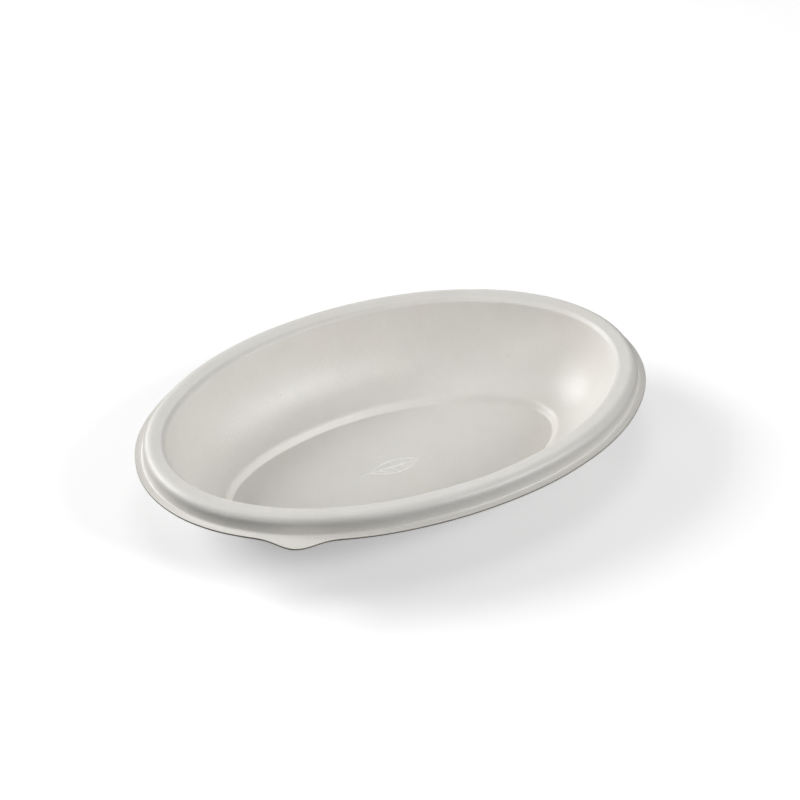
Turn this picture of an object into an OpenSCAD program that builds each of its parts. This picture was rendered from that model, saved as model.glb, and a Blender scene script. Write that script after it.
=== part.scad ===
// Oval moulded-pulp dish.
// The dish is one pressed sheet. It is drawn as its moulded zones, from the floor out to the lip:
// floor panel, foot step, bowl wall, rim bead, lid flange and pull tab, with a leaf raised on the floor.
// The origin is on the underside of the floor, in the middle of the oval. +X runs along the dish.

/* [Outline] */
// Length over the lid flange
dish_length = 230; // [180:1:280]
// Width over the lid flange
dish_width = 150; // [130:1:190]
// Height from the table to the top of the rim bead
dish_height = 39.5; // [36:0.5:48]
// Thickness of the pressed sheet
sheet = 0.8; // [0.6:0.05:1]

/* [Lip] */
// Height of the lid flange's top face
flange_height = 31.8; // [29:0.1:33]
// Inset of the crease between the flange and the bead
crease_inset = 3.1; // [2.9:0.1:4]
// Inset of the bead's outer shoulder
shoulder_inset = 4.2; // [4:0.1:5.5]
// Radius of the bead's outer shoulder
shoulder_radius = 3.6; // [1.5:0.1:4]
// Inset of the bead's inner edge
bead_inner_inset = 11.3; // [10.5:0.1:11.6]
// Fall of the bead's crown towards the bowl
crown_fall = 0.6; // [0:0.1:1]

/* [Wall and foot] */
// Inset of the top of the bowl wall
wall_top_inset = 13.2; // [13.1:0.1:14]
// Inset of the foot of the bowl wall
wall_foot_inset = 35.5; // [30:0.1:36]
// Height of the foot of the bowl wall
wall_foot_height = 4.6; // [4.4:0.1:6]
// Slope of the bowl wall at its top
wall_top_slope = 80; // [70:1:84]
// Slope of the bowl wall at its foot
wall_foot_slope = 20; // [16:1:30]
// Inset of the corner between the foot step and the floor
floor_inset = 39.4; // [39:0.1:42]

/* [Pull tab] */
// Place of the tab round the oval, in whole ring steps from the +X end
tab_step = -32; // [-44:1:-28]
// Reach of the tab beyond the flange
tab_reach = 5.2; // [3:0.1:8]
// Sharpness of the tab's point
tab_power = 1.8; // [1:0.1:3]

/* [Floor leaf] */
// Length of the leaf
leaf_length = 24; // [12:1:40]
// Greatest width of the leaf
leaf_width = 9; // [6:0.5:14]
// Width of the raised line
leaf_line = 0.9; // [0.6:0.1:1.5]
// Height of the raised line above the floor
leaf_rise = 0.3; // [0.2:0.05:0.6]

/* [Hidden] */

pulp = [0.80, 0.79, 0.76];
pulp_light = [0.86, 0.85, 0.82];
pulp_shade = [0.70, 0.69, 0.66];

// Every ring round the dish has the same number of points, so that neighbouring zones share them.
ring_points = 90;
ring_step = 360 / ring_points;
// The outline is a little fuller than an ellipse at the flange and a little leaner at the floor.
flange_exponent = 2.05;
floor_exponent = 1.9;

seam_inset = 2.2;
floor_seam_inset = 41.5;
crease_radius = 0.8;
lip_radius = 1.2;
wall_edge_radius = 1.4;
foot_shoulder_radius = 4;
foot_fillet_radius = 1.0;
least_radius = 0.25;

// The bead meets the bowl wall by a short slope, which ends this far above the top of the wall
wall_lead = 1.2;
// The foot of the wall runs on this far to the corner of the foot step's shoulder
shoulder_lead = 2;
wall_top_height = dish_height - 3.3;
wall_steps = 7;

tab_half_span = 3;
tab_points_per_step = 8;

// Points of the oval at a given inset from the flange's edge
function exponent(inset) =
    flange_exponent + (floor_exponent - flange_exponent) * max(inset, 0) / floor_seam_inset;
function signed_power(value, power) = sign(value) * pow(abs(value), power);
function oval_point(inset, angle) =
    let (power = 2 / exponent(inset))
    [
        (dish_length / 2 - inset) * signed_power(cos(angle), power),
        (dish_width / 2 - inset) * signed_power(sin(angle), power)
    ];
function oval_ring(inset) = [for (i = [0 : ring_points - 1]) oval_point(inset, i * ring_step)];

// A section is a path of corners [inset, height, radius]; its two ends have radius 0.
function place(corner) = [corner[0], corner[1]];
function unit(v) = v / norm(v);
function turned_right(v) = [v[1], -v[0]];
function cross_size(a, b) = a[0] * b[1] - a[1] * b[0];

function rounded_corner(before, corner, after, radius, steps) =
    let (
        back = unit(before - corner),
        ahead = unit(after - corner),
        half = acos(back * ahead) / 2,
        centre = corner + unit(back + ahead) * radius / sin(half),
        first = corner + back * radius / tan(half) - centre,
        last = corner + ahead * radius / tan(half) - centre,
        turn = atan2(cross_size(first, last), first * last),
        start = atan2(first[1], first[0])
    )
    [for (i = [0 : steps]) centre + radius * [cos(start + turn * i / steps), sin(start + turn * i / steps)]];

// One step of rounding for each 22 degrees or so that the corner turns
function corner_steps(before, corner, after) =
    max(1, round(acos(unit(corner - before) * unit(after - corner)) / 22));

function rounded_path(corners) = [
    place(corners[0]),
    for (i = [1 : len(corners) - 2])
        let (before = place(corners[i - 1]), here = place(corners[i]), after = place(corners[i + 1]))
        for (p = rounded_corner(before, here, after, corners[i][2], corner_steps(before, here, after))) p,
    place(corners[len(corners) - 1])
];

// The lower face: each stretch of the path moves one sheet thickness to its right, and the corners follow.
function lowered_corner(corners, i) =
    let (
        last = len(corners) - 1,
        here = place(corners[i]),
        before_dir = unit(place(corners[max(i, 1)]) - place(corners[max(i, 1) - 1])),
        after_dir = unit(place(corners[min(i, last - 1) + 1]) - place(corners[min(i, last - 1)])),
        shift = turned_right(before_dir) + turned_right(after_dir),
        turns_left = cross_size(before_dir, after_dir) > 0,
        place_below = here + sheet * shift / (1 + before_dir * after_dir)
    )
    [place_below[0], place_below[1], turns_left ? corners[i][2] + sheet : max(corners[i][2] - sheet, least_radius)];
function lowered(corners) = [for (i = [0 : len(corners) - 1]) lowered_corner(corners, i)];
function reversed(points) = [for (i = [len(points) - 1 : -1 : 0]) points[i]];
function sheet_section(corners) = concat(rounded_path(corners), reversed(rounded_path(lowered(corners))));

// The bowl wall curves from its steep top to its flatter foot, hollow towards the bowl. Its ends run
// along two straight lines that cross at the bend, and the curve is the parabola that both touch.
wall_top = [wall_top_inset, wall_top_height];
wall_foot = [wall_foot_inset, wall_foot_height];
wall_top_dir = [cos(wall_top_slope), -sin(wall_top_slope)];
wall_foot_dir = [cos(wall_foot_slope), -sin(wall_foot_slope)];
wall_bend = wall_top
    + wall_top_dir * cross_size(wall_foot - wall_top, wall_foot_dir) / cross_size(wall_top_dir, wall_foot_dir);
function wall_face(depth) = [
    for (i = [0 : wall_steps])
        let (
            s = i / wall_steps,
            way = unit((1 - s) * (wall_bend - wall_top) + s * (wall_foot - wall_bend))
        )
        (1 - s) * (1 - s) * wall_top + 2 * s * (1 - s) * wall_bend + s * s * wall_foot
            + depth * turned_right(way)
];

crown_slope = crown_fall / (bead_inner_inset - shoulder_inset);
bead_corners = [
    [seam_inset, flange_height, 0],
    [crease_inset, flange_height, crease_radius],
    [shoulder_inset, dish_height + crown_slope * shoulder_radius, shoulder_radius],
    [bead_inner_inset, dish_height - crown_fall, lip_radius],
    [wall_top[0] - wall_top_dir[0] * wall_lead, wall_top[1] - wall_top_dir[1] * wall_lead, wall_edge_radius],
    [wall_top[0], wall_top[1], 0]
];
foot_corners = [
    [wall_foot[0], wall_foot[1], 0],
    [
        wall_foot[0] + wall_foot_dir[0] * shoulder_lead,
        wall_foot[1] + wall_foot_dir[1] * shoulder_lead,
        foot_shoulder_radius
    ],
    [floor_inset, sheet, foot_fillet_radius],
    [floor_seam_inset, sheet, 0]
];

// A closed section [[inset, height], ...] carried round the oval
module carried_round(section) {
    count = len(section);
    rings = [for (p = section) oval_ring(p[0])];
    points = [
        for (i = [0 : ring_points - 1])
            for (j = [0 : count - 1]) [rings[j][i][0], rings[j][i][1], section[j][1]]
    ];
    function corner_index(i, j) = (i % ring_points) * count + j % count;
    faces = [
        for (i = [0 : ring_points - 1])
            for (j = [0 : count - 1])
                for (half = [0, 1])
                    half == 0
                        ? [corner_index(i, j), corner_index(i, j + 1), corner_index(i + 1, j + 1)]
                        : [corner_index(i, j), corner_index(i + 1, j + 1), corner_index(i + 1, j)]
    ];
    polyhedron(points, faces);
}

module oval_plate(inset) {
    polygon(oval_ring(inset));
}

module floor_panel() {
    color(pulp)
        linear_extrude(sheet) oval_plate(floor_seam_inset);
}

module foot_step() {
    color(pulp_light)
        carried_round(sheet_section(foot_corners));
}

module bowl_wall() {
    color(pulp)
        carried_round(concat(wall_face(0), reversed(wall_face(sheet))));
}

module rim_bead() {
    color(pulp_shade)
        carried_round(sheet_section(bead_corners));
}

module lid_flange() {
    color(pulp_light)
        translate([0, 0, flange_height - sheet])
            linear_extrude(sheet)
                difference() {
                    oval_plate(0);
                    oval_plate(seam_inset);
                }
}

// The tab's edge leaves the flange's edge in a smooth swell: a raised cosine to a power.
function tab_swell(offset) = tab_reach * pow((1 + cos(180 * offset / tab_half_span)) / 2, tab_power);
function oval_outward(angle) =
    let (along = oval_point(0, angle + 0.5) - oval_point(0, angle - 0.5))
    turned_right(unit(along));
tab_edge = [
    for (k = [-tab_half_span * tab_points_per_step : tab_half_span * tab_points_per_step])
        let (offset = k / tab_points_per_step, angle = (tab_step + offset) * ring_step)
        oval_point(0, angle) + tab_swell(offset) * oval_outward(angle)
];
tab_root = [for (k = [tab_half_span - 1 : -1 : 1 - tab_half_span]) oval_point(0, (tab_step + k) * ring_step)];

module pull_tab() {
    color(pulp_light)
        translate([0, 0, flange_height - sheet])
            linear_extrude(sheet) polygon(concat(tab_edge, tab_root));
}

// A leaf blade is where two equal circles overlap.
module leaf_blade(length, width) {
    radius = (length * length + width * width) / (4 * width);
    intersection() {
        translate([0, radius - width / 2]) circle(r = radius, $fn = 96);
        translate([0, width / 2 - radius]) circle(r = radius, $fn = 96);
    }
}

module embossed_leaf() {
    stem_length = leaf_length / 5;
    color(pulp_light)
        translate([0, 0, sheet])
            linear_extrude(leaf_rise) {
                difference() {
                    leaf_blade(leaf_length, leaf_width);
                    leaf_blade(leaf_length - 4 * leaf_line, leaf_width - 2 * leaf_line);
                }
                translate([-leaf_length / 2 - stem_length, -leaf_line / 2])
                    square([leaf_length + stem_length - 3 * leaf_line, leaf_line]);
            }
}

floor_panel();
foot_step();
bowl_wall();
rim_bead();
lid_flange();
pull_tab();
embossed_leaf();
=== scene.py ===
"""Looks of an oval dish pressed from plant pulp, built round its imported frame.

The dish is one pressed sheet. Each of its moulded zones is a closed solid that stands for the CAD
node of the same name, and neighbouring zones share the ring of points where they meet. All of them
ride on the one body and wear the same pulp finish.
"""

import logging
import math
from dataclasses import dataclass, field
from enum import Enum

import bpy
import numpy as np
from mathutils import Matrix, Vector


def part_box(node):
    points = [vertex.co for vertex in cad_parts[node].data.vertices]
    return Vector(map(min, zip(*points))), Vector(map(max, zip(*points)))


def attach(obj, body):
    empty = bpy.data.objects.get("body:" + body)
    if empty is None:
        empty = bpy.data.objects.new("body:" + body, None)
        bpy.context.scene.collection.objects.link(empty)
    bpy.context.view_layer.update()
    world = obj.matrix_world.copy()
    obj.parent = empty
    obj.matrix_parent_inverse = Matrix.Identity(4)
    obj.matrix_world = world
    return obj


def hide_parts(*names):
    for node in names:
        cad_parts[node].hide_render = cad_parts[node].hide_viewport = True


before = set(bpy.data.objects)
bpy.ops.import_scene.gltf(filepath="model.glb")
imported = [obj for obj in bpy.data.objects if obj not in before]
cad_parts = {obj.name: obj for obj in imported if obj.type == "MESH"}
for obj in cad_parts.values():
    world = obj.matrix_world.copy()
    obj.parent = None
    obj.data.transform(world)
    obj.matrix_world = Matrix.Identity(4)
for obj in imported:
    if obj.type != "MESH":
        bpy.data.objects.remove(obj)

MM = 0.001
BODY = "root"
RING_STEPS = 720
SHARP_ANGLE = math.radians(50)
# An inset far past any real one, which tells a strip's seam from its cut edge
FAR_IN = 1.0

log = logging.getLogger("dish")


def towards(azimuth: float, elevation: float) -> Vector:
    """The direction from the dish to a place round it.

    With a the azimuth and e the elevation it is (sin a cos e, -cos a cos e, sin e), so azimuth 0 is
    on the -Y side and 90 on the +X side.

    Args:
        azimuth: Angle round the dish, in degrees.
        elevation: Angle above the table, in degrees.

    Returns:
        A vector of length one.
    """
    turn, rise = math.radians(azimuth), math.radians(elevation)
    return Vector(
        (math.sin(turn) * math.cos(rise), -math.cos(turn) * math.cos(rise), math.sin(rise))
    )


# ---------------------------------------------------------------- the outline and the section


@dataclass(frozen=True)
class Oval:
    """The rings of the dish: the flange's oval moved in by an inset.

    The ring at inset d is |x / a|^n + |y / b|^n = 1 with half-axes a = L - d and b = W - d. The
    power n falls evenly from the flange's edge to the floor's seam, so the floor is a little leaner.
    """

    half_length: float
    half_width: float
    floor_seam: float
    flange_power: float = 2.05
    floor_power: float = 1.9

    def points(self, inset: np.ndarray, angle: np.ndarray) -> np.ndarray:
        """Points on the rings.

        With t the angle and n the ring's power, x = a sign(cos t) |cos t|^(2/n), and y the same
        with b and the sine.

        Args:
            inset: Distance in from the flange's edge, in metres.
            angle: Angle round the oval, in radians; it broadcasts against inset.

        Returns:
            An array of x and y in its last axis.
        """
        fall = np.clip(inset, 0, None) / self.floor_seam
        power = 2 / (self.flange_power + (self.floor_power - self.flange_power) * fall)
        across, up = np.cos(angle), np.sin(angle)
        x = (self.half_length - inset) * np.sign(across) * np.abs(across) ** power
        y = (self.half_width - inset) * np.sign(up) * np.abs(up) ** power
        return np.stack(np.broadcast_arrays(x, y), axis=-1)

    def outward(self, angle: np.ndarray) -> np.ndarray:
        """Unit vectors that point straight out of the flange's edge.

        The tangent is the difference of two close points on the edge, turned a quarter turn right.

        Args:
            angle: Angles round the oval, in radians.

        Returns:
            An array of x and y in its last axis.
        """
        nudge = math.radians(0.25)
        edge = np.zeros_like(angle)
        along = self.points(edge, angle + nudge) - self.points(edge, angle - nudge)
        along /= np.linalg.norm(along, axis=-1, keepdims=True)
        return np.stack([along[..., 1], -along[..., 0]], axis=-1)


@dataclass(frozen=True)
class Corner:
    """A corner of a section's path: how far in, how high, and how far it is rounded."""

    inset: float
    height: float
    radius: float = 0.0

    @property
    def place(self) -> np.ndarray:
        """The corner as an [inset, height] pair."""
        return np.array([self.inset, self.height])


def unit(vector: np.ndarray) -> np.ndarray:
    """The vector at length one."""
    return vector / np.linalg.norm(vector)


def turned_right(vector: np.ndarray) -> np.ndarray:
    """The vector after a quarter turn to the right."""
    return np.array([vector[1], -vector[0]])


def cross(first: np.ndarray, second: np.ndarray) -> float:
    """How far two plane vectors turn to the left, as the area they span."""
    return float(first[0] * second[1] - first[1] * second[0])


def fillet(before: np.ndarray, corner: Corner, after: np.ndarray, degrees: float) -> np.ndarray:
    """The arc that rounds one corner.

    Its centre lies on the bisector at radius / sin(half the corner's angle), and its points are
    evenly turned from the tangent point on one side to that on the other.

    Args:
        before: The place of the corner before.
        corner: The corner to round.
        after: The place of the corner after.
        degrees: The most that the arc may turn between two points.

    Returns:
        The arc's points, one [inset, height] pair per row.
    """
    back, ahead = unit(before - corner.place), unit(after - corner.place)
    half = math.acos(float(np.clip(back @ ahead, -1, 1))) / 2
    centre = corner.place + unit(back + ahead) * corner.radius / math.sin(half)
    reach = corner.radius / math.tan(half)
    first = corner.place + back * reach - centre
    last = corner.place + ahead * reach - centre
    turn = math.atan2(cross(first, last), float(first @ last))
    steps = max(2, math.ceil(abs(math.degrees(turn)) / degrees))
    angle = math.atan2(first[1], first[0]) + turn * np.linspace(0, 1, steps + 1)
    return centre + corner.radius * np.stack([np.cos(angle), np.sin(angle)], axis=-1)


def filled_in(path: np.ndarray, spacing: float) -> np.ndarray:
    """The same path with points added along its long stretches.

    Args:
        path: The path's points, one per row.
        spacing: The longest stretch that is left between two points.

    Returns:
        The old and the new points, in order, one per row.
    """
    lengths = np.linalg.norm(np.diff(path, axis=0), axis=1)
    counts = np.maximum(1, np.ceil(lengths / spacing).astype(int))
    starts = np.concatenate([[0], np.cumsum(counts)])
    return np.stack(
        [np.interp(np.arange(starts[-1] + 1), starts, path[:, axis]) for axis in (0, 1)], axis=-1
    )


def rounded_path(corners: list[Corner], spacing: float, degrees: float = 9.0) -> np.ndarray:
    """A path through rounded corners, with its ends left as they are.

    Args:
        corners: The path's corners, in order.
        spacing: The longest straight stretch between two points.
        degrees: The most that a rounded corner may turn between two points.

    Returns:
        The path's points, one [inset, height] pair per row.
    """
    rows = [corners[0].place[None]]
    for before, here, after in zip(corners, corners[1:], corners[2:]):
        rows.append(fillet(before.place, here, after.place, degrees))
    rows.append(corners[-1].place[None])
    return filled_in(np.concatenate(rows), spacing)


def lowered(corners: list[Corner], sheet: float) -> list[Corner]:
    """The corners of the sheet's lower face.

    Each stretch of the path moves one sheet thickness to its right, and each corner goes to where
    its two moved stretches cross. A corner that turns left grows by the thickness, and one that
    turns right shrinks by it.

    Args:
        corners: The corners of the upper face, in order.
        sheet: The sheet's thickness.

    Returns:
        The corners of the lower face, in the same order.
    """
    least = 0.25 * MM
    places = [corner.place for corner in corners]
    stretches = [unit(ahead - here) for here, ahead in zip(places, places[1:])]
    arriving = [stretches[0], *stretches]
    leaving = [*stretches, stretches[-1]]
    below = []
    for corner, last, following in zip(corners, arriving, leaving):
        shift = turned_right(last) + turned_right(following)
        place = corner.place + sheet * shift / (1 + float(last @ following))
        grown = corner.radius + sheet if cross(last, following) > 0 else corner.radius - sheet
        below.append(Corner(place[0], place[1], max(grown, least)))
    return below


@dataclass
class Section:
    """A closed outline of [inset, height] points, and which of them lie on the lower face."""

    points: np.ndarray
    underside: np.ndarray

    @classmethod
    def of_faces(cls, upper: np.ndarray, lower: np.ndarray) -> "Section":
        """The outline that runs along the upper face and back along the lower one.

        Args:
            upper: The upper face's points, one per row.
            lower: The lower face's points, in the same direction.

        Returns:
            The closed outline.
        """
        points = np.concatenate([upper, lower[::-1]])
        below = np.concatenate([np.zeros(len(upper)), np.ones(len(lower))])
        return cls(points, below)

    @classmethod
    def of_corners(cls, corners: list[Corner], sheet: float, spacing: float) -> "Section":
        """The outline of a sheet whose upper face follows the corners."""
        upper = rounded_path(corners, spacing)
        return cls.of_faces(upper, rounded_path(lowered(corners, sheet), spacing))


# ---------------------------------------------------------------- meshes


def grid_faces(rows: int, columns: int, wrap_rows: bool, wrap_columns: bool) -> np.ndarray:
    """Four-sided faces over a grid of points.

    A face joins the points (i, j), (i + 1, j), (i + 1, j + 1) and (i, j + 1); the last row or
    column joins the first where it wraps.

    Args:
        rows: How many rows of points there are.
        columns: How many points are in a row.
        wrap_rows: Whether the last row meets the first.
        wrap_columns: Whether the last column meets the first.

    Returns:
        Four point numbers per face.
    """
    i = np.arange(rows if wrap_rows else rows - 1)[:, None]
    j = np.arange(columns if wrap_columns else columns - 1)[None, :]
    i_next, j_next = (i + 1) % rows, (j + 1) % columns
    corners = [i * columns + j, i_next * columns + j, i_next * columns + j_next, i * columns + j_next]
    return np.stack(np.broadcast_arrays(*corners), axis=-1).reshape(-1, 4)


@dataclass
class Solid:
    """A closed mesh on its way into Blender, with its marks from 0 to 1 at each point."""

    points: np.ndarray
    faces: list[np.ndarray]
    marks: dict[str, np.ndarray] = field(default_factory=dict)

    def to_object(self, name: str) -> bpy.types.Object:
        """Puts the solid into the scene as a smooth-shaded object with sharp cut edges.

        Args:
            name: The object's name.

        Returns:
            The new object.
        """
        mesh = bpy.data.meshes.new(name)
        faces = [face for block in self.faces for face in block.tolist()]
        mesh.from_pydata(self.points.tolist(), [], faces)
        for mark, values in self.marks.items():
            layer = mesh.attributes.new(mark, "FLOAT", "POINT")
            layer.data.foreach_set("value", values.astype(np.float32))
        mesh.polygons.foreach_set("use_smooth", np.ones(len(mesh.polygons), bool))
        mesh.set_sharp_from_angle(angle=SHARP_ANGLE)
        mesh.update()
        piece = bpy.data.objects.new(name, mesh)
        bpy.context.scene.collection.objects.link(piece)
        return piece


class Mark(str, Enum):
    """The marks that the finish reads from a piece's points."""

    UNDERSIDE = "underside"
    # The cut edge, painted dark brown: partly its browner fibres, partly painted shade.
    CUT_EDGE_PAINTED_SHADE = "cut_edge"
    # The leaf: less rough and less bumpy, and painted paler as a painted highlight on its ridges.
    POLISHED_PAINTED_HIGHLIGHT = "polished"


# ---------------------------------------------------------------- the pressed sheet


@dataclass(frozen=True)
class Unevenness:
    """The slow bumps that pressing leaves: a sum of plane waves with seeded directions.

    The shift at a point p is the sum over the waves of v sin(k . p + c), with k the wave's
    direction over its length, v its seeded shift and c its phase. It depends on the place only, so
    zones that share a point stay together.
    """

    seed: int = 7
    layers: tuple[tuple[int, float, float], ...] = (
        (10, 38 * MM, 0.055 * MM),
        (16, 15 * MM, 0.012 * MM),
        (24, 6 * MM, 0.0035 * MM),
    )

    def shift(self, points: np.ndarray) -> np.ndarray:
        """How far each point moves.

        Args:
            points: Places in the dish's frame, one per row.

        Returns:
            One shift per row.
        """
        draw = np.random.default_rng(self.seed)
        moved = np.zeros_like(points)
        for count, length, depth in self.layers:
            heading = draw.normal(size=(count, 3))
            heading /= np.linalg.norm(heading, axis=1, keepdims=True)
            wave = 2 * math.pi * heading / (length * draw.uniform(0.7, 1.4, (count, 1)))
            sway = draw.normal(size=(count, 3)) * depth / math.sqrt(count / 2)
            moved += np.sin(points @ wave.T + draw.uniform(0, 2 * math.pi, count)) @ sway
        return moved


@dataclass(frozen=True)
class LipWave:
    """The lip's slow departure from a true oval, as pulp dries.

    The lip moves out by depth cos(3 (t - peak)) and up by lift cos(2 (t - peak)), at full strength on
    the flange and fading with a smooth step to nothing at the fade inset.
    """

    depth: float = 0.3 * MM
    lift: float = 0.2 * MM
    peak: float = math.radians(-45)
    fade: float = 24 * MM

    def strength(self, inset: np.ndarray) -> np.ndarray:
        """One at the flange, nothing past the fade inset."""
        run = np.clip(1 - inset / self.fade, 0, 1)
        return run * run * (3 - 2 * run)

    def outward(self, angle: np.ndarray) -> np.ndarray:
        """How far the flange's edge moves out at each angle."""
        return self.depth * np.cos(3 * (angle - self.peak))

    def upward(self, angle: np.ndarray) -> np.ndarray:
        """How far the lip rises at each angle."""
        return self.lift * np.cos(2 * (angle - self.peak))


@dataclass(frozen=True)
class Press:
    """What every zone of the sheet shares: its outline, thickness and small faults."""

    oval: Oval
    sheet: float
    wave: LipWave = LipWave()
    unevenness: Unevenness = Unevenness()

    @staticmethod
    def ring_angles() -> np.ndarray:
        """The angles at which every zone is sampled."""
        return np.arange(RING_STEPS) * 2 * math.pi / RING_STEPS

    def settled(self, points: np.ndarray) -> np.ndarray:
        """The points after the unevenness has moved them, with none let below the table.

        Args:
            points: Places in the dish's frame, one per row.

        Returns:
            The moved places, one per row.
        """
        moved = points + self.unevenness.shift(points)
        moved[:, 2] = np.maximum(moved[:, 2], 0.0)
        return moved

    def place(self, inset: np.ndarray, height: np.ndarray, angle: np.ndarray) -> np.ndarray:
        """Points of the sheet in the dish's frame.

        A point is its ring's point, moved out and up by the lip's wave, and then settled.

        Args:
            inset: Distance in from the flange's edge, in metres.
            height: Height above the table; it broadcasts against inset and angle.
            angle: Angle round the oval, in radians.

        Returns:
            An array of x, y and z in its last axis.
        """
        inset, height, angle = np.broadcast_arrays(inset, height, angle)
        strength = self.wave.strength(inset)
        flat = self.oval.points(inset, angle)
        flat = flat + self.oval.outward(angle) * (strength * self.wave.outward(angle))[..., None]
        raised = height + strength * self.wave.upward(angle)
        points = np.concatenate([flat, raised[..., None]], axis=-1)
        return self.settled(points.reshape(-1, 3)).reshape(points.shape)

    def carried_round(self, section: Section) -> Solid:
        """A closed section carried once round the oval.

        Args:
            section: The outline to carry.

        Returns:
            A closed ring with its underside marked.
        """
        inset, height = section.points[None, :, 0], section.points[None, :, 1]
        points = self.place(inset, height, self.ring_angles()[:, None])
        faces = grid_faces(RING_STEPS, len(section.points), True, True)
        below = np.tile(section.underside, RING_STEPS)
        return Solid(points.reshape(-1, 3), [faces], {Mark.UNDERSIDE.value: below})


@dataclass
class Zone:
    """One moulded zone of the sheet, which stands for the CAD node of its name."""

    press: Press
    finish: bpy.types.Material
    node: str = ""
    slot: str = "pulp"

    def solid(self) -> Solid:
        """The zone's closed mesh."""
        raise NotImplementedError

    def build(self) -> bpy.types.Object:
        """Makes the zone, dresses it and puts it on the dish's body.

        Returns:
            The zone's object.
        """
        solid = self.solid()
        piece = solid.to_object(f"{self.node}_surface")
        piece.data.materials.append(self.finish)
        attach(piece, BODY)
        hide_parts(self.node)
        log.info("%s: %d points, %d faces", piece.name, len(solid.points), len(piece.data.polygons))
        return piece


@dataclass
class RimBead(Zone):
    """The hollow raised bead between the flange and the bowl, with the small slope inside it."""

    node: str = "rim_bead"
    seam: float = 2.2 * MM
    flange_height: float = 31.8 * MM
    top: float = 39.5 * MM
    crease: Corner = Corner(3.1 * MM, 31.8 * MM, 0.8 * MM)
    shoulder_inset: float = 4.2 * MM
    shoulder_radius: float = 3.6 * MM
    inner_inset: float = 11.3 * MM
    crown_fall: float = 0.6 * MM
    lip_radius: float = 1.2 * MM
    wall_edge_radius: float = 1.4 * MM
    wall_lead: float = 1.2 * MM
    wall_top: Corner = Corner(13.2 * MM, 36.2 * MM)
    wall_direction: tuple[float, float] = (0.18, -0.98)
    spacing: float = 0.45 * MM

    def corners(self) -> list[Corner]:
        """The upper face's path.

        The shoulder's corner is raised by the crown's slope times its radius, which brings the top
        of its rounding close to the bead's height.

        Returns:
            The corners, from the flange's seam to the top of the wall.
        """
        slope = self.crown_fall / (self.inner_inset - self.shoulder_inset)
        inner_height = self.top - self.crown_fall
        lead = self.wall_top.place - np.array(self.wall_direction) * self.wall_lead
        return [
            Corner(self.seam, self.flange_height),
            self.crease,
            Corner(self.shoulder_inset, self.top + slope * self.shoulder_radius, self.shoulder_radius),
            Corner(self.inner_inset, inner_height, self.lip_radius),
            Corner(lead[0], lead[1], self.wall_edge_radius),
            self.wall_top,
        ]

    def solid(self) -> Solid:
        """The bead's section carried round the oval."""
        section = Section.of_corners(self.corners(), self.press.sheet, self.spacing)
        return self.press.carried_round(section)


@dataclass
class BowlWall(Zone):
    """The wall of the bowl: steep at its top, and flatter the nearer it comes to its foot."""

    node: str = "bowl_wall"
    top: Corner = Corner(13.2 * MM, 36.2 * MM)
    foot: Corner = Corner(35.5 * MM, 4.6 * MM)
    top_slope: float = math.radians(80)
    foot_slope: float = math.radians(20)
    steps: int = 56

    @staticmethod
    def downhill(slope: float) -> np.ndarray:
        """Which way the wall runs inwards where it has this slope."""
        return np.array([math.cos(slope), -math.sin(slope)])

    def bend(self) -> np.ndarray:
        """Where the straight lines on from the wall's two ends cross.

        Returns:
            An [inset, height] pair.
        """
        down, up = self.downhill(self.top_slope), -self.downhill(self.foot_slope)
        across = self.foot.place - self.top.place
        return self.top.place + down * cross(across, up) / cross(down, up)

    def face(self, depth: float) -> np.ndarray:
        """The curve that lies at a depth below the upper face.

        At share s from the top it is (1 - s)^2 top + 2 s (1 - s) bend + s^2 foot, moved by the depth
        square to its way, outwards and down.

        Args:
            depth: How far the curve lies below the upper face.

        Returns:
            The curve's points, one [inset, height] pair per row.
        """
        share = np.linspace(0, 1, self.steps + 1)[:, None]
        top, bend, foot = self.top.place, self.bend(), self.foot.place
        curve = (1 - share) ** 2 * top + 2 * share * (1 - share) * bend + share**2 * foot
        way = (1 - share) * (bend - top) + share * (foot - bend)
        way /= np.linalg.norm(way, axis=1, keepdims=True)
        return curve + depth * np.stack([way[:, 1], -way[:, 0]], axis=-1)

    def solid(self) -> Solid:
        """The wall's section carried round the oval."""
        return self.press.carried_round(Section.of_faces(self.face(0), self.face(self.press.sheet)))


@dataclass
class FootStep(Zone):
    """The short steep band round the floor, between a soft shoulder and a fillet."""

    node: str = "foot_step"
    wall_foot: Corner = Corner(35.5 * MM, 4.6 * MM)
    wall_direction: tuple[float, float] = (0.87, -0.5)
    shoulder_lead: float = 2.0 * MM
    shoulder_radius: float = 4.0 * MM
    floor_inset: float = 39.4 * MM
    fillet_radius: float = 1.0 * MM
    spacing: float = 0.4 * MM

    def corners(self) -> list[Corner]:
        """The upper face's path.

        Returns:
            The corners, from the foot of the wall to the floor's seam.
        """
        shoulder = self.wall_foot.place + np.array(self.wall_direction) * self.shoulder_lead
        return [
            self.wall_foot,
            Corner(shoulder[0], shoulder[1], self.shoulder_radius),
            Corner(self.floor_inset, self.press.sheet, self.fillet_radius),
            Corner(self.press.oval.floor_seam, self.press.sheet),
        ]

    def solid(self) -> Solid:
        """The step's section carried round the oval."""
        section = Section.of_corners(self.corners(), self.press.sheet, self.spacing)
        return self.press.carried_round(section)


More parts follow.
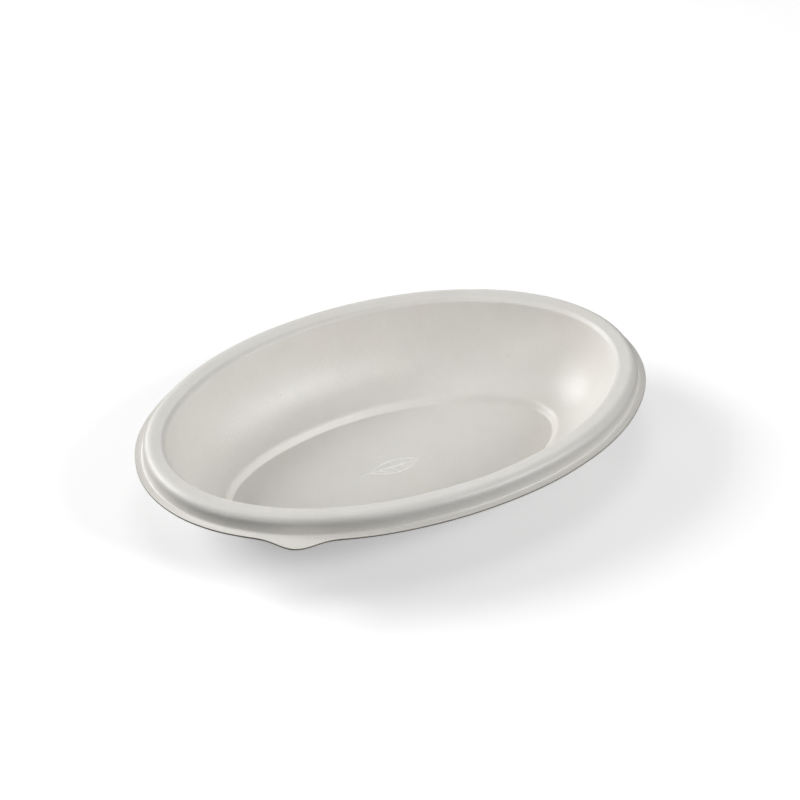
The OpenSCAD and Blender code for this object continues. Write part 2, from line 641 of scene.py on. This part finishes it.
@dataclass
class FloorPanel(Zone):
    """The flat floor: the seam's ring drawn in to a point, above and below."""

    node: str = "floor_panel"
    rings: int = 56

    def solid(self) -> Solid:
        """Two faces of shrinking rings, joined round the seam and closed at the middle.

        The point at share s and angle t is s times the seam ring's point, with s falling evenly
        from one to one ring's step; a last point closes each middle.

        Returns:
            The closed floor with its underside marked.
        """
        press, angle = self.press, self.press.ring_angles()
        seam = press.place(press.oval.floor_seam, 0.0, angle)[:, :2]
        share = np.linspace(1, 1 / self.rings, self.rings)[:, None, None]
        flat = share * seam[None]
        heights = np.array([press.sheet, 0.0])[:, None, None, None]
        layers = [np.broadcast_to(flat, (2, *flat.shape)), np.broadcast_to(heights, (2, *flat.shape[:2], 1))]
        faces_apart = np.concatenate(layers, axis=-1)
        middles = np.array([[0, 0, press.sheet], [0, 0, 0.0]])
        points = press.settled(np.concatenate([faces_apart.reshape(-1, 3), middles]))
        upper = np.arange(self.rings * RING_STEPS).reshape(self.rings, RING_STEPS)
        lower = upper + upper.size
        return Solid(points, self.faces(upper, lower), {Mark.UNDERSIDE.value: self.below(len(points))})

    def faces(self, upper: np.ndarray, lower: np.ndarray) -> list[np.ndarray]:
        """The faces of both sides, the band round the seam and the two closing fans.

        Args:
            upper: The upper points' numbers, a row for each ring from the seam inwards.
            lower: The lower points' numbers, in the same order.

        Returns:
            Blocks of faces that all point outwards.
        """
        first, following = np.arange(RING_STEPS), (np.arange(RING_STEPS) + 1) % RING_STEPS
        grid = grid_faces(self.rings, RING_STEPS, False, True)
        band = np.stack([lower[0, first], lower[0, following], upper[0, following], upper[0, first]], -1)
        middle = 2 * upper.size
        top_fan = np.stack([upper[-1, first], upper[-1, following], np.full(RING_STEPS, middle)], -1)
        low_fan = np.stack([lower[-1, following], lower[-1, first], np.full(RING_STEPS, middle + 1)], -1)
        return [grid[:, ::-1], grid + upper.size, band, top_fan, low_fan]

    def below(self, count: int) -> np.ndarray:
        """Marks the lower face's points: the second half of the grid, and the last middle.

        Args:
            count: How many points the floor has.

        Returns:
            One mark per point.
        """
        marks = np.zeros(count)
        half = self.rings * RING_STEPS
        marks[half : 2 * half] = 1
        marks[-1] = 1
        return marks


@dataclass(frozen=True)
class TabSwell:
    """The smooth swell of the flange's edge that makes the pull tab.

    Beyond the edge it reaches out by reach ((1 + cos(pi u)) / 2)^power, where u is the angle from
    the tab's middle over the half span.
    """

    middle: float = math.radians(-128)
    half_span: float = math.radians(12)
    reach: float = 5.2 * MM
    power: float = 1.8

    def outward(self, angle: np.ndarray) -> np.ndarray:
        """How far the tab reaches beyond the flange's edge.

        Args:
            angle: Angles round the oval, in radians.

        Returns:
            One reach per angle.
        """
        turned = (angle - self.middle + math.pi) % (2 * math.pi) - math.pi
        share = np.clip(turned / self.half_span, -1, 1)
        return self.reach * ((1 + np.cos(math.pi * share)) / 2) ** self.power


@dataclass(frozen=True)
class CutEdge:
    """The section of a flat die-cut strip: how high and thick it is, and how its edge is rounded."""

    top: float
    sheet: float
    radius: float = 0.14 * MM

    def section(self, inner: float, radius: float) -> np.ndarray:
        """The strip's outline, from its inner seam over the top and back below.

        A row of points close to the edge keeps the faces flat up to its rounded corners.

        Args:
            inner: Inset of the inner seam; the cut edge is at inset nothing.
            radius: How far the edge's two corners are rounded.

        Returns:
            [inset, height] points, in the order inner top, cut edge, inner bottom.
        """
        low, near = self.top - self.sheet, 2 * radius
        corners = [
            Corner(inner, self.top),
            Corner(0.0, self.top, radius),
            Corner(0.0, low, radius),
            Corner(inner, low),
        ]
        rows = [corners[0].place[None], np.array([[near, self.top]])]
        for before, here, after in zip(corners, corners[1:], corners[2:]):
            rows.append(fillet(before.place, here, after.place, 30.0))
        rows += [np.array([[near, low]]), corners[-1].place[None]]
        return np.concatenate(rows)

    def marks(self, rows: int) -> dict[str, np.ndarray]:
        """Which of the strip's points are on its lower face and which on its cut edge.

        Args:
            rows: How many times the section is repeated.

        Returns:
            One value per point for each mark.
        """
        section = self.section(FAR_IN, self.radius)
        hair = 0.02 * MM
        below = section[:, 1] < self.top - self.sheet + hair
        # The cut edge's points, which the finish paints dark brown: partly browner fibres, partly painted
        # shade.
        cut = (section[:, 0] < self.radius / 2) & ~below & (section[:, 1] < self.top - hair)
        marks = {Mark.UNDERSIDE.value: below, Mark.CUT_EDGE_PAINTED_SHADE.value: cut}
        return {name: np.tile(values.astype(float), rows) for name, values in marks.items()}


@dataclass
class LidFlange(Zone):
    """The flat flange outside the bead, with a softly rounded die-cut edge."""

    node: str = "lid_flange"
    slot: str = "pulp_cut_edge"
    seam: float = 2.2 * MM
    top: float = 31.8 * MM
    joined_radius: float = 0.01 * MM
    swell: TabSwell = TabSwell()

    def solid(self) -> Solid:
        """The strip carried round; where the tab grows from it, the edge stays square.

        A point is the mix of a rounded and a nearly square section, by how much swell there is.

        Returns:
            The closed flange with its marks.
        """
        angle = self.press.ring_angles()
        edge = CutEdge(self.top, self.press.sheet)
        rounded = edge.section(self.seam, edge.radius)
        square = edge.section(self.seam, self.joined_radius)
        joined = np.clip(self.swell.outward(angle) / (4 * edge.radius), 0, 1)[:, None, None]
        section = rounded[None] * (1 - joined) + square[None] * joined
        points = self.press.place(section[..., 0], section[..., 1], angle[:, None])
        faces = grid_faces(RING_STEPS, len(rounded), True, True)[:, ::-1]
        return Solid(points.reshape(-1, 3), [faces], edge.marks(RING_STEPS))


@dataclass
class PullTab(Zone):
    """The rounded point of the flange, grown out of its edge."""

    node: str = "pull_tab"
    slot: str = "pulp_cut_edge"
    top: float = 31.8 * MM
    half_span: float = math.radians(10)
    columns: int = 81
    swell: TabSwell = TabSwell()

    def solid(self) -> Solid:
        """A strip from the flange's edge out to the swell, closed at its two thin ends.

        The root stays on the flange's edge. The cut edge's rows lie at the swell's reach less their
        own inset, and shrink with it where the tab is thinner than they are.

        Returns:
            The closed tab with its marks.
        """
        edge = CutEdge(self.top, self.press.sheet)
        section = edge.section(FAR_IN, edge.radius)
        angle = self.swell.middle + self.half_span * np.linspace(-1, 1, self.columns)
        reach = self.swell.outward(angle)[:, None]
        share = np.clip(reach / (2.5 * edge.radius), 0, 1)
        out = np.where(section[:, 0] < FAR_IN / 2, reach - section[:, 0] * share, 0.0)
        corner = np.where(section[:, 1] > self.top - self.press.sheet / 2, 0, -self.press.sheet)
        height = self.top + corner + (section[:, 1] - self.top - corner) * share
        points = self.press.place(0.0, height, angle[:, None])
        points[..., :2] += self.press.oval.outward(angle)[:, None] * out[..., None]
        count = len(section)
        faces = grid_faces(self.columns, count, False, True)[:, ::-1]
        first = np.arange(count)[None]
        last = first[:, ::-1] + (self.columns - 1) * count
        return Solid(points.reshape(-1, 3), [faces, first, last], edge.marks(self.columns))


@dataclass
class EmbossedLeaf(Zone):
    """The leaf raised on the floor: two curved sides, a midrib that runs on as a stem, and veins."""

    node: str = "embossed_leaf"
    length: float = 24 * MM
    width: float = 9 * MM
    line: float = 0.9 * MM
    rise: float = 0.3 * MM
    stem: float = 4.8 * MM
    veins: int = 3
    vein_start: float = 0.3
    vein_step: float = 0.2
    vein_run: float = 0.13
    bury: float = 0.1 * MM

    def side(self, way: float) -> np.ndarray:
        """The centre line of one side: an arc over the leaf's length that bows to half its width.

        Args:
            way: 1 for the +Y side and -1 for the other.

        Returns:
            The line's points, one [x, y] pair per row.
        """
        half_width = (self.width - self.line) / 2
        half_length = (self.length - self.line) / 2
        radius = (half_length**2 + half_width**2) / (2 * half_width)
        reach = math.asin(half_length / radius)
        angle = np.linspace(-reach, reach, 49)
        y = radius * np.cos(angle) - (radius - half_width)
        return np.stack([radius * np.sin(angle), way * y], axis=-1)

    def midrib(self) -> np.ndarray:
        """The centre line of the stem and the midrib, with a slight sweep in the stem.

        Returns:
            The line's points, one [x, y] pair per row.
        """
        x = np.linspace(-self.length / 2 - self.stem + self.line / 2, self.length / 2 - 2.4 * self.line, 41)
        past = np.clip(-self.length / 2 - x, 0, None) / self.stem
        return np.stack([x, -0.5 * self.line * past**2], axis=-1)

    def vein(self, number: int, way: float) -> np.ndarray:
        """The centre line of one side vein: from the midrib forwards to near the side.

        Args:
            number: Which vein it is, counted from the stem.
            way: 1 for the +Y side and -1 for the other.

        Returns:
            The line's points, one [x, y] pair per row.
        """
        start = self.length * (number * self.vein_step - self.vein_start)
        run = self.length * self.vein_run
        share = np.linspace(0, 1, 17)
        x = start + share * run
        half = (self.width / 2) * (1 - (2 * (start + run) / self.length) ** 2)
        return np.stack([x, way * (self.line * 0.3 + (half - 1.5 * self.line) * share**1.3)], axis=-1)

    def ridge(self, path: np.ndarray, width: float, rise: float) -> Solid:
        """A closed raised line with a rounded back.

        Along the path the width and the rise grow from the ends as sin(pi s)^0.35. Across it, at
        u from -1 to 1, the height is rise (1 - u^2)^1.3 above the floor, and two buried corners
        close it below.

        Args:
            path: The line's centre, one [x, y] pair per row.
            width: How wide the line is at its middle.
            rise: How far its back stands above the floor.

        Returns:
            The closed line.
        """
        along = np.gradient(path, axis=0)
        along /= np.linalg.norm(along, axis=1, keepdims=True)
        side = np.stack([-along[:, 1], along[:, 0]], axis=-1)
        share = np.linspace(0.02, 0.98, len(path))
        grow = (np.sin(math.pi * share) ** 0.35)[:, None]
        across = np.linspace(-1, 1, 11)
        height = np.concatenate([rise * (1 - across**2) ** 1.3, [-self.bury, -self.bury]])
        across = np.concatenate([across, [1, -1]])
        flat = path[:, None] + side[:, None] * (across[None] * width / 2 * grow)[..., None]
        raised = self.press.sheet + height[None] * np.where(height[None] > 0, grow, 1)
        points = np.concatenate([flat, np.broadcast_to(raised, flat.shape[:2])[..., None]], axis=-1)
        points = self.press.settled(points.reshape(-1, 3))
        count = len(across)
        grid = grid_faces(len(path), count, False, True)
        ends = [np.arange(count)[None, ::-1], np.arange(count)[None] + (len(path) - 1) * count]
        return Solid(points, [grid, *ends])

    def solid(self) -> Solid:
        """All the leaf's raised lines as one piece.

        Returns:
            The closed lines, marked as polished and for their painted highlight.
        """
        fine = 0.6 * self.line
        lines = [(self.side(way), self.line, self.rise) for way in (1.0, -1.0)]
        lines.append((self.midrib(), self.line, self.rise))
        lines += [
            (self.vein(number, way), fine, 0.7 * self.rise)
            for number in range(self.veins)
            for way in (1.0, -1.0)
        ]
        ridges = [self.ridge(*line) for line in lines]
        starts = np.cumsum([0] + [len(ridge.points) for ridge in ridges])
        faces = [block + start for ridge, start in zip(ridges, starts) for block in ridge.faces]
        points = np.concatenate([ridge.points for ridge in ridges])
        return Solid(points, faces, {Mark.POLISHED_PAINTED_HIGHLIGHT.value: np.ones(len(points))})


# ---------------------------------------------------------------- finishes


class Flow:
    """A shader socket that takes part in Python arithmetic; each operator adds a Math node."""

    def __init__(self, bench: "NodeBench", socket: bpy.types.NodeSocket) -> None:
        """Wraps one output socket of a node on the bench."""
        self.bench = bench
        self.socket = socket

    def _math(self, operation: str, first: "Flow | float", second: "Flow | float") -> "Flow":
        """The result of a Math node on two values."""
        node = self.bench.add("ShaderNodeMath", {"operation": operation}, {0: first, 1: second})
        return Flow(self.bench, node.outputs[0])

    def __add__(self, other: "Flow | float") -> "Flow":
        """self + other."""
        return self._math("ADD", self, other)

    def __radd__(self, other: float) -> "Flow":
        """other + self."""
        return self._math("ADD", other, self)

    def __sub__(self, other: "Flow | float") -> "Flow":
        """self - other."""
        return self._math("SUBTRACT", self, other)

    def __rsub__(self, other: float) -> "Flow":
        """other - self."""
        return self._math("SUBTRACT", other, self)

    def __mul__(self, other: "Flow | float") -> "Flow":
        """self * other."""
        return self._math("MULTIPLY", self, other)

    def __rmul__(self, other: float) -> "Flow":
        """other * self."""
        return self._math("MULTIPLY", other, self)

    def stepped(self, low: float, high: float) -> "Flow":
        """A smooth step over the value.

        Args:
            low: Where the step is 0; it may be the greater of the two.
            high: Where the step is 1.

        Returns:
            A value from 0 to 1.
        """
        settings = {"interpolation_type": "SMOOTHSTEP", "clamp": True}
        sockets = {"Value": self, "From Min": low, "From Max": high}
        return Flow(self.bench, self.bench.add("ShaderNodeMapRange", settings, sockets).outputs[0])


class NodeBench:
    """The node tree of one material, and the one way that nodes are added to it."""

    def __init__(self, name: str) -> None:
        """Starts an empty material of that name."""
        self.material = bpy.data.materials.new(name)
        self.material.use_nodes = True
        self.tree = self.material.node_tree
        self.tree.nodes.clear()

    def add(self, kind: str, settings: dict, sockets: dict) -> bpy.types.Node:
        """Adds a node.

        Args:
            kind: The node's type.
            settings: The node's own settings, which are set first.
            sockets: Values or links for its inputs, by name or number.

        Returns:
            The new node.
        """
        node = self.tree.nodes.new(kind)
        for name, value in settings.items():
            setattr(node, name, value)
        for key, value in sockets.items():
            if isinstance(value, Flow):
                self.tree.links.new(value.socket, node.inputs[key])
            else:
                node.inputs[key].default_value = value
        return node

    def flow(self, kind: str, settings: dict, sockets: dict, output: str | int = 0) -> Flow:
        """Adds a node and wraps one of its outputs."""
        return Flow(self, self.add(kind, settings, sockets).outputs[output])

    def mark(self, mark: Mark) -> Flow:
        """One of the marks that a piece carries at its points."""
        settings = {"attribute_type": "GEOMETRY", "attribute_name": mark.value}
        return self.flow("ShaderNodeAttribute", settings, {}, "Fac")

    def tinted(self, factor: "Flow | float", first: "Flow | tuple", second: "Flow | tuple") -> Flow:
        """A colour between two, by a factor from 0 to 1."""
        sockets = {0: factor, 6: first, 7: second}
        return self.flow("ShaderNodeMix", {"data_type": "RGBA", "clamp_factor": True}, sockets, 2)


@dataclass(frozen=True)
class PulpFinish:
    """Hot-pressed plant pulp: pale warm grey, cloudy, lightly specked, with a fine-grained sheen."""

    name: str = "moulded_pulp"
    pale: tuple[float, float, float, float] = (0.888, 0.868, 0.828, 1.0)
    cloud: tuple[float, float, float, float] = (0.866, 0.846, 0.804, 1.0)
    warm: tuple[float, float, float, float] = (0.882, 0.846, 0.790, 1.0)
    speck: tuple[float, float, float, float] = (0.14, 0.10, 0.07, 1.0)
    fleck: tuple[float, float, float, float] = (0.42, 0.37, 0.31, 1.0)
    # The cut edge's dark brown: partly its browner fibres, partly painted shade on the edge.
    cut: tuple[float, float, float, float] = (0.30, 0.25, 0.20, 1.0)
    # The leaf's paler colour is a painted highlight on its raised lines.
    polished: tuple[float, float, float, float] = (0.97, 0.96, 0.935, 1.0)
    grain_shade: tuple[float, float, float, float] = (0.72, 0.70, 0.655, 1.0)
    cloud_size: float = 14 * MM
    warm_size: float = 45 * MM
    grain_size: float = 0.62 * MM
    peel_size: float = 2.2 * MM
    speck_spacing: float = 8 * MM
    speck_radius: float = 0.21 * MM
    fleck_spacing: float = 3.6 * MM
    fleck_radius: float = 0.16 * MM
    wire_pitch: float = 1.1 * MM
    grain_depth: float = 0.15
    peel_depth: float = 0.03
    wire_depth: float = 0.02
    roughness: float = 0.36
    roughness_spread: float = 0.14
    ior: float = 1.5
    specular: float = 0.7

    def noise(self, bench: NodeBench, place: Flow, size: float, detail: float) -> Flow:
        """Noise from 0 to 1 whose features are about one size across."""
        sockets = {"Vector": place, "Scale": 1 / size, "Detail": detail, "Roughness": 0.55}
        return bench.flow("ShaderNodeTexNoise", {"noise_dimensions": "3D"}, sockets, 0)

    def dots(self, bench: NodeBench, place: Flow, spacing: float, radius: float) -> Flow:
        """Scattered round dots: 1 near the points of a cell pattern, else 0.

        Args:
            bench: The material's bench.
            place: Where the pattern is read.
            spacing: How far apart the dots are, roughly.
            radius: How large a dot is.

        Returns:
            A value from 0 to 1.
        """
        settings = {"voronoi_dimensions": "3D", "feature": "F1"}
        sockets = {"Vector": place, "Scale": 1 / spacing, "Randomness": 1.0}
        distance = bench.flow("ShaderNodeTexVoronoi", settings, sockets, "Distance")
        return distance.stepped(radius / spacing, 0.5 * radius / spacing)

    def colour(self, bench: NodeBench, place: Flow) -> Flow:
        """The pulp's colour under its clouds, warm patches, bark and grain.

        The leaf is painted paler, as a painted highlight, and the cut edge dark brown, partly for its
        browner fibres and partly as painted shade.

        Args:
            bench: The material's bench.
            place: Where the patterns are read.

        Returns:
            The colour.
        """
        clouds = self.noise(bench, place, self.cloud_size, 4.0).stepped(0.35, 0.75)
        shade = bench.tinted(clouds, self.pale, self.cloud)
        warmth = self.noise(bench, place, self.warm_size, 2.0).stepped(0.5, 0.8)
        shade = bench.tinted(warmth * 0.6, shade, self.warm)
        flecks = self.dots(bench, place, self.fleck_spacing, self.fleck_radius)
        shade = bench.tinted(flecks * 0.5, shade, self.fleck)
        specks = self.dots(bench, place, self.speck_spacing, self.speck_radius)
        shade = bench.tinted(specks * 0.8, shade, self.speck)
        fibre = self.noise(bench, place, 0.5 * self.grain_size, 3.0).stepped(0.3, 0.75)
        shade = bench.tinted(fibre * 0.26, shade, self.grain_shade)
        # The leaf is painted paler: a painted highlight on its raised lines.
        shade = bench.tinted(bench.mark(Mark.POLISHED_PAINTED_HIGHLIGHT) * 0.85, shade, self.polished)
        # The cut edge is painted dark brown: partly its browner fibres, partly painted shade.
        edge = bench.mark(Mark.CUT_EDGE_PAINTED_SHADE) * (0.7 + 0.3 * fibre)
        return bench.tinted(edge, shade, self.cut)

    def relief(self, bench: NodeBench, place: Flow) -> Flow:
        """The grain, the slower peel and, below, the print of the forming wire.

        The wire's print is sin(r x) sin(r y), with r a whole turn over the wire's pitch.

        Args:
            bench: The material's bench.
            place: Where the patterns are read.

        Returns:
            The height, in millimetres.
        """
        grain = self.noise(bench, place, self.grain_size, 3.0)
        peel = self.noise(bench, place, self.peel_size, 2.0)
        rate = 2 * math.pi / self.wire_pitch
        axes = bench.add("ShaderNodeSeparateXYZ", {}, {0: place}).outputs
        waves = [
            bench.flow("ShaderNodeMath", {"operation": "SINE"}, {0: Flow(bench, axis) * rate})
            for axis in (axes[0], axes[1])
        ]
        wire = waves[0] * waves[1] * bench.mark(Mark.UNDERSIDE)
        pressed = 1 - 0.8 * bench.mark(Mark.POLISHED_PAINTED_HIGHLIGHT)
        return pressed * (self.grain_depth * grain + self.peel_depth * peel) + self.wire_depth * wire

    def make(self) -> bpy.types.Material:
        """The finished material.

        Returns:
            A material that every zone can share.
        """
        bench = NodeBench(self.name)
        place = bench.flow("ShaderNodeTexCoord", {}, {}, "Object")
        patchy = self.noise(bench, place, self.grain_size * 2, 2.0)
        roughness = self.roughness + self.roughness_spread * (patchy - 0.5)
        roughness = roughness - 0.08 * bench.mark(Mark.POLISHED_PAINTED_HIGHLIGHT)
        relief = self.relief(bench, place)
        bump = bench.flow(
            "ShaderNodeBump", {}, {"Strength": 1.0, "Distance": MM, "Height": relief}, "Normal"
        )
        shader = bench.flow(
            "ShaderNodeBsdfPrincipled",
            {},
            {
                "Base Color": self.colour(bench, place),
                "Roughness": roughness,
                "Normal": bump,
                "IOR": self.ior,
                "Specular IOR Level": self.specular,
            },
            "BSDF",
        )
        bench.add("ShaderNodeOutputMaterial", {}, {"Surface": shader})
        return bench.material


@dataclass(frozen=True)
class FloorFinish:
    """The matt white table under the dish, which glows a little so that it stays white."""

    name: str = "studio_floor"
    colour: tuple[float, float, float, float] = (0.93, 0.93, 0.93, 1.0)
    glow: float = 0.35

    def make(self) -> bpy.types.Material:
        """The finished material.

        Returns:
            The floor's material.
        """
        bench = NodeBench(self.name)
        sockets = {
            "Base Color": self.colour,
            "Roughness": 0.9,
            "Specular IOR Level": 0.1,
            "Emission Color": (1.0, 1.0, 1.0, 1.0),
            "Emission Strength": self.glow,
        }
        shader = bench.flow("ShaderNodeBsdfPrincipled", {}, sockets, "BSDF")
        bench.add("ShaderNodeOutputMaterial", {}, {"Surface": shader})
        return bench.material


# ---------------------------------------------------------------- the studio


@dataclass(frozen=True)
class SoftLamp:
    """A square soft light that hangs round the dish and faces it."""

    name: str
    azimuth: float
    elevation: float
    power: float
    size: float
    distance: float = 1.4

    def hang(self, target: Vector) -> None:
        """Puts the lamp in the scene, turned towards the target.

        Args:
            target: The place that the lamp hangs round and faces.
        """
        away = towards(self.azimuth, self.elevation)
        light = bpy.data.lights.new(self.name, "AREA")
        light.shape = "SQUARE"
        light.size = self.size
        light.energy = self.power
        lamp = bpy.data.objects.new(self.name, light)
        lamp.location = target + away * self.distance
        lamp.rotation_euler = away.to_track_quat("Z", "Y").to_euler()
        bpy.context.scene.collection.objects.link(lamp)


@dataclass(frozen=True)
class Studio:
    """A plain pale floor, an even pale surround, soft lamps and one camera."""

    floor_reach: float = 4.0
    floor_drop: float = 0.02 * MM
    surround: float = 0.03
    lamp_target: float = 20 * MM
    lamps: tuple[SoftLamp, ...] = (
        SoftLamp("left_back", -129.0, 31.0, 15.4, 0.75),
        SoftLamp("right_front", 37.0, 33.5, 8.9, 0.5),
        SoftLamp("right_low", 62.0, 24.0, 1.0, 0.45),
        SoftLamp("left_front", -48.0, 30.0, 1.0, 0.45),
        SoftLamp("overhead", 0.0, 90.0, 2.1, 0.6),
        SoftLamp("back_low", -165.0, 9.0, 2.4, 0.35),
        SoftLamp("right_back_low", 150.0, 9.0, 1.4, 0.35),
    )
    azimuth: float = -25.25
    elevation: float = 38.39
    distance: float = 1.2206
    lens: float = 126.0
    film_width: float = 36.0
    aim: tuple[float, float, float] = (10.5 * MM, 16.65 * MM, 22 * MM)

    def lay_floor(self) -> None:
        """A flat square floor just below the dish, which takes its shadow but doesn't light it."""
        corners = np.array([[-1, -1], [1, -1], [1, 1], [-1, 1]]) * self.floor_reach
        points = np.column_stack([corners, np.full(len(corners), -self.floor_drop)])
        floor = Solid(points, [np.array([[0, 1, 2, 3]])]).to_object("studio_floor")
        floor.data.materials.append(FloorFinish().make())
        floor.visible_diffuse = False
        floor.visible_glossy = False

    def light(self) -> None:
        """The surround and the lamps."""
        world = bpy.data.worlds.new("pale_surround")
        world.use_nodes = True
        background = world.node_tree.nodes["Background"]
        background.inputs["Color"].default_value = (1.0, 1.0, 1.0, 1.0)
        background.inputs["Strength"].default_value = self.surround
        bpy.context.scene.world = world
        for lamp in self.lamps:
            lamp.hang(Vector((0, 0, self.lamp_target)))

    def set_camera(self) -> None:
        """The camera, which looks at the aim point from its azimuth and elevation."""
        back = towards(self.azimuth, self.elevation)
        data = bpy.data.cameras.new("camera")
        data.lens = self.lens
        data.sensor_width = self.film_width
        data.clip_start, data.clip_end = 0.01, 50.0
        camera = bpy.data.objects.new("camera", data)
        camera.location = Vector(self.aim) + back * self.distance
        camera.rotation_euler = back.to_track_quat("Z", "Y").to_euler()
        bpy.context.scene.collection.objects.link(camera)
        bpy.context.scene.camera = camera

    def set_up(self) -> None:
        """The whole studio, shown with plain tone reproduction."""
        self.lay_floor()
        self.light()
        self.set_camera()
        bpy.context.scene.view_settings.view_transform = "Standard"


# ---------------------------------------------------------------- the whole dish


@dataclass
class Dish:
    """The oval dish: its zones, sized from the frame's nodes."""

    press: Press
    finish: bpy.types.Material
    stem_share: float = 0.2

    @classmethod
    def from_frame(cls) -> "Dish":
        """Reads the outline and the sheet's thickness from the flange's and the floor's boxes.

        Returns:
            The dish, with its finish made.
        """
        _, flange_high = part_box("lid_flange")
        floor_low, floor_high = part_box("floor_panel")
        oval = Oval(flange_high.x, flange_high.y, flange_high.x - floor_high.x)
        press = Press(oval, floor_high.z - floor_low.z)
        return cls(press, PulpFinish().make())

    def zones(self) -> list[Zone]:
        """The dish's zones.

        The leaf's box holds its blade and its stem, which is a set share of the blade's length.

        Returns:
            The zones from the floor out to the tab, and then the leaf.
        """
        _, flange_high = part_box("lid_flange")
        _, bead_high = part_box("rim_bead")
        leaf_low, leaf_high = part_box("embossed_leaf")
        shared = {"press": self.press, "finish": self.finish}
        seam = flange_high.x - bead_high.x
        wall = BowlWall(**shared)
        leaf_length = (leaf_high.x - leaf_low.x) / (1 + self.stem_share)
        return [
            FloorPanel(**shared),
            FootStep(**shared, wall_foot=wall.foot, wall_direction=tuple(wall.downhill(wall.foot_slope))),
            wall,
            RimBead(
                **shared,
                seam=seam,
                flange_height=flange_high.z,
                top=bead_high.z,
                wall_top=wall.top,
                wall_direction=tuple(wall.downhill(wall.top_slope)),
            ),
            LidFlange(**shared, seam=seam, top=flange_high.z),
            PullTab(**shared, top=flange_high.z),
            EmbossedLeaf(
                **shared,
                length=leaf_length,
                width=leaf_high.y - leaf_low.y,
                rise=leaf_high.z - leaf_low.z,
                stem=leaf_length * self.stem_share,
            ),
        ]


def main() -> None:
    """Builds the studio and the dish, and reports each piece."""
    logging.basicConfig(level=logging.INFO, format="%(message)s")
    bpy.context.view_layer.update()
    Studio().set_up()
    for zone in Dish.from_frame().zones():
        zone.build()


if __name__ == "__main__":
    main()
